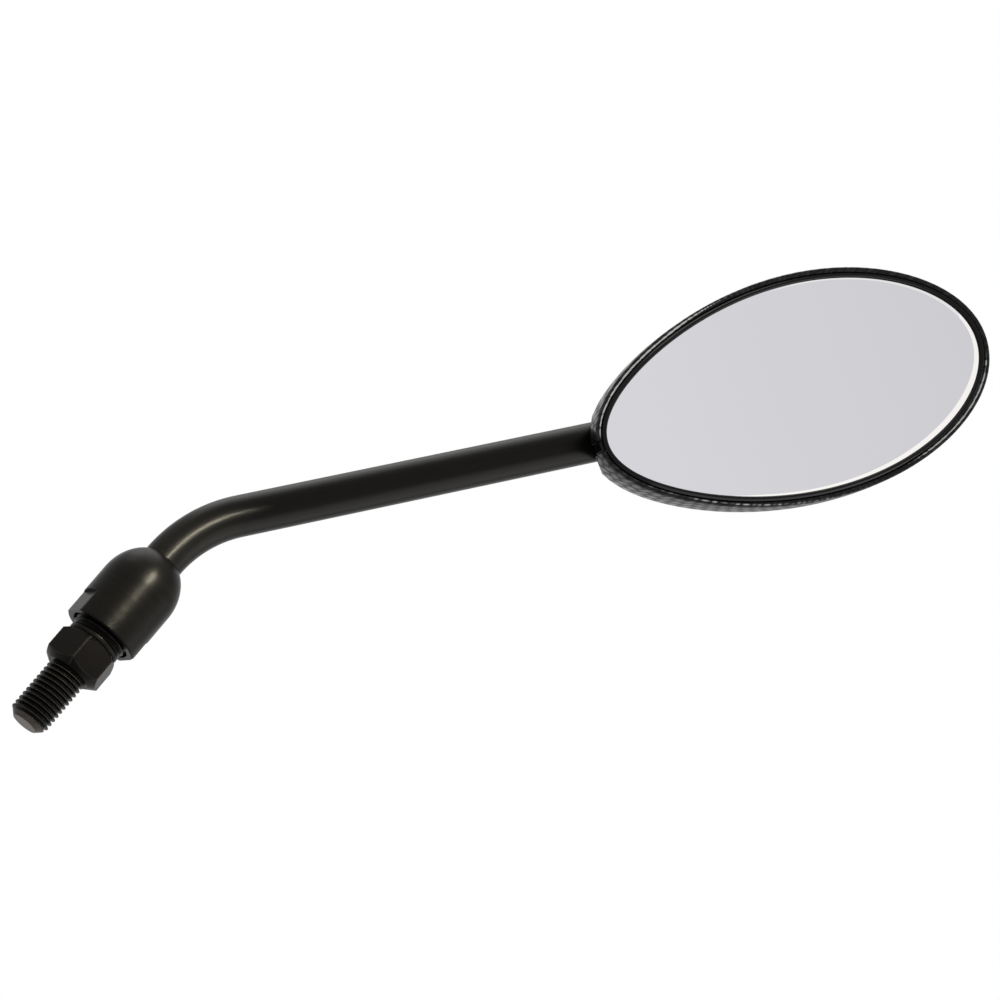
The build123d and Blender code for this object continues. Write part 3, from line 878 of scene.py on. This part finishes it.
def make_rim():
    """Rim as a closed profile carried round the egg, rounded over the front, with a leg behind the
    glass's edge, and its tongue as a rounded bar set in the notch."""
    t = around(256)
    ring = profile(
        (RIM_OUTSET, RIM_CAP_BACK),
        (RIM_OUTSET, RIM_FRONT - RIM_CHAMFER - RIM_EDGE_FALL),
        (RIM_OUTSET - RIM_CHAMFER, RIM_FRONT - RIM_EDGE_FALL),
        (RIM_OUTSET - RIM_CHAMFER - RIM_EDGE_WIDTH, RIM_FRONT),
        arc((RIM_GAP + RIM_INNER_FALL, RIM_FRONT - RIM_INNER_FALL), RIM_INNER_FALL, 90, 165, 9),
        (RIM_GAP, PAD_BACK),
        (RIM_GAP + RIM_LEG_WIDTH, PAD_BACK),
        (RIM_GAP + RIM_LEG_WIDTH, RIM_CAP_BACK),
    )
    points, faces = skin(egg_ring(t, ring[:, 0], ring[:, 1]), closed=True)
    piece = add_piece("rim_ring", points, faces, RIM_BLACK, sharp_angle=20.0)
    seat_piece(piece, "head", "rim")
    angle = around(48) + pi / 48
    reach = NOTCH_REACH - TONGUE_SETBACK
    middle = SHELL_TIP + TONGUE_SETBACK + reach / 2
    x = np.sign(np.cos(angle)) * (reach / 2 - TONGUE_ROUNDING) + TONGUE_ROUNDING * np.cos(angle)
    z = np.sign(np.sin(angle)) * (TONGUE_WIDTH / 2 - TONGUE_ROUNDING) + TONGUE_ROUNDING * np.sin(angle)
    depth = np.array([[TONGUE_BACK], [TONGUE_FRONT]])
    rows = in_head(middle + x[None, :], depth, z[None, :] - BALL_RISE)
    points, faces = skin(rows, rows[0].mean(0), rows[-1].mean(0))
    tongue = add_piece("rim_tongue", points, faces, RIM_BLACK)
    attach(tongue, "head")


def make_glass():
    """Mirror glass as egg outlines: a flat front, a ground bevel of two slopes that is widest near
    the far end, an upright edge and a flat back."""
    t = around(256)
    swell = (0.5 + 0.5 * np.cos(t - radians(BEVEL_WIDEST))) ** BEVEL_PEAK
    bevel = BEVEL_NARROW + (BEVEL_WIDE - BEVEL_NARROW) * swell
    rows = np.concatenate([
        egg_ring(t, 0.0, GLASS_BACK),
        egg_ring(t, 0.0, GLASS_FRONT - sum(BEVEL_SLOPES) / 2 * bevel),
        egg_ring(t, -bevel / 2, GLASS_FRONT - BEVEL_SLOPES[0] / 2 * bevel),
        egg_ring(t, -bevel, GLASS_FRONT),
    ])
    middles = in_head(EGG_CENTRE, np.array([GLASS_BACK, GLASS_FRONT]), -BALL_RISE)
    points, faces = skin(rows, middles[0], middles[1])
    piece = add_piece("mirror_face", points, faces, SILVER, sharp_angle=5.0)
    seat_piece(piece, "head", "mirror_glass")


def dress_inner_nodes():
    """Finishes of the pieces that keep their solid's shape."""
    dress = {
        "nylon": NYLON,
        "bright_steel": ZINC,
        "brass": BRASS,
        "pad": FOAM,
        "carrier": MOULDED,
    }
    for subpart in frame["record"]["subparts"]:
        if subpart["material_slot"] in dress:
            mesh = frame["nodes"][subpart["node"]].data
            mesh.materials.clear()
            mesh.materials.append(dress[subpart["material_slot"]])


def make_floor():
    """A pale floor below the mirror, out of the camera's view."""
    ends = (-FLOOR_HALF, FLOOR_HALF)
    corners = np.array([(x, y, FLOOR_LEVEL) for x in ends for y in ends])
    pale = finish("pale_floor", {"Emission Strength": 1.0}, white_in_gloss)
    floor = add_piece("floor", corners, [(0, 2, 3, 1)], pale)


def light_world():
    """White for what the camera, gloss and glass see, and a softer white as ambient light."""
    world = bpy.data.worlds.new("studio")
    bpy.context.scene.world = world
    world.use_nodes = True
    flow = Flow(world.node_tree)
    seen = flow.node("ShaderNodeLightPath", output="Is Camera Ray")
    shown = (seen + seen.out("Is Glossy Ray") + seen.out("Is Transmission Ray")).math("MINIMUM", 1.0)
    ambient = flow.node("ShaderNodeBackground", {}, {"Color": grey(1.0), "Strength": AMBIENT_STRENGTH})
    white = flow.node("ShaderNodeBackground", {}, {"Color": grey(1.0)})
    mixed = flow.node("ShaderNodeMixShader", {}, {0: shown, 1: ambient, 2: white})
    surface = world.node_tree.nodes["World Output"].inputs["Surface"]
    world.node_tree.links.new(mixed.socket, surface)


def add_softbox(name, place, aim, along, size, radiance, warmth=0.0):
    """An area lamp at a place, turned to an aim, with its width along a direction, as bright as its
    radiance says and yellower by its warmth."""
    lamp = bpy.data.lights.new(name, "AREA")
    lamp.color = (1.0, 1.0 - 0.2 * warmth, 1.0 - warmth)
    lamp.shape = "RECTANGLE"
    lamp.size, lamp.size_y = size
    lamp.energy = radiance * pi * size[0] * size[1]
    away = (Vector(place) - Vector(aim)).normalized()
    up = away.cross(Vector(along)).normalized()
    turn = Matrix((up.cross(away), up, away)).transposed()
    box = bpy.data.objects.new(name, lamp)
    box.matrix_world = Matrix.Translation(place) @ turn.to_4x4()
    bpy.context.scene.collection.objects.link(box)


def add_spot(name, place, aim, cone, radius, watts):
    """A small spot lamp at a place, turned to an aim, with a soft cone in degrees."""
    lamp = bpy.data.lights.new(name, "SPOT")
    lamp.energy = watts
    lamp.color = SPOT_TINT
    lamp.spot_size = radians(cone)
    lamp.spot_blend = 1.0
    lamp.shadow_soft_size = radius
    spot = bpy.data.objects.new(name, lamp)
    turn = (Vector(place) - Vector(aim)).to_track_quat("Z", "Y")
    spot.matrix_world = Matrix.Translation(place) @ turn.to_matrix().to_4x4()
    bpy.context.scene.collection.objects.link(spot)


def set_camera():
    """The photograph's camera."""
    lens = bpy.data.cameras.new("camera")
    lens.sensor_fit = "HORIZONTAL"
    lens.sensor_width = SENSOR_WIDTH
    lens.lens = FOCAL_LENGTH
    camera = bpy.data.objects.new("camera", lens)
    camera.matrix_world = Matrix.Translation(CAMERA_PLACE) @ Matrix(CAMERA_AXES.T.tolist()).to_4x4()
    bpy.context.scene.collection.objects.link(camera)
    bpy.context.scene.camera = camera


make_adapter()
make_clamp_nut()
make_stem()
make_shell()
make_socket()
make_rim()
make_glass()
dress_inner_nodes()
make_floor()
light_world()
add_softbox("top_box", (-0.447, 0.174, 0.949), AIM, CAMERA_RIGHT, (0.9, 0.8), 2.3)
add_softbox("low_box", (0.994, -0.2, -0.116), AIM, CAMERA_AXES[2], (0.92, 1.0), 2.2)
add_softbox(
    "edge_box", (0.589, -0.686, 0.722), (0.138, 0.154, 0.421), EDGE_ALONG, (0.5, 0.74), 0.48, warmth=0.3
)
add_softbox(
    "edge_top_box", (0.182, -0.816, 0.97), (-0.269, 0.024, 0.669), EDGE_ALONG, (0.34, 0.3), 0.28, warmth=0.3
)
add_spot("dome_spot", (0.012, -0.333, 0.255), (0.0, -0.009, 0.024), 6.5, 0.012, 25.0)
add_spot("bend_spot", (0.021, -0.388, 0.16), (0.001, -0.005, 0.0445), 2.7, 0.012, 25.0)
set_camera()
bpy.context.scene.view_settings.view_transform = "Standard"
